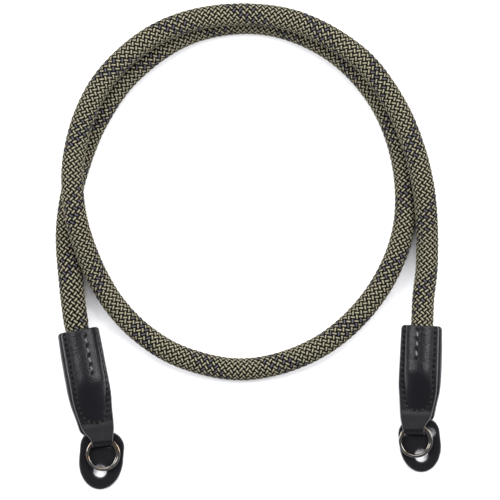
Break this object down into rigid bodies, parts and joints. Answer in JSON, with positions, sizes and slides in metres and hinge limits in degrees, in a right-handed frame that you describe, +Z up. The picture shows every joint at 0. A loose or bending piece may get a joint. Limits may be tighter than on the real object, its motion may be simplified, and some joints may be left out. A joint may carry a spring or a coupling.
{
  "type": "rope camera strap",
  "caption": "Braided rope camera strap lying coiled, with a folded and stitched leather tab, a split ring and a leather guard on each end.",
  "frame": {"origin": "on the surface that the strap lies on, under the middle of the box round the two end fittings (tabs, rings and guards)", "axes": "+X from the left end of the strap to the right end, +Y from the end fittings towards the coil, +Z up from the surface"},
  "size_m": [0.1775, 0.2233, 0.0206],
  "materials": {
    "braided_rope": "matt khaki braid with dark grey tracer yarns",
    "smooth_leather": "smooth black leather with a satin sheen and painted edges",
    "guard_leather": "matt black leather with cut edges",
    "ring_metal": "bright dark nickel plating"
  },
  "bodies": {
    "root": {"rope": "braided_rope", "left_tab": "smooth_leather", "right_tab": "smooth_leather", "left_guard": "guard_leather", "right_guard": "guard_leather", "left_split_ring": "ring_metal", "right_split_ring": "ring_metal"}
  },
  "joints": []
}
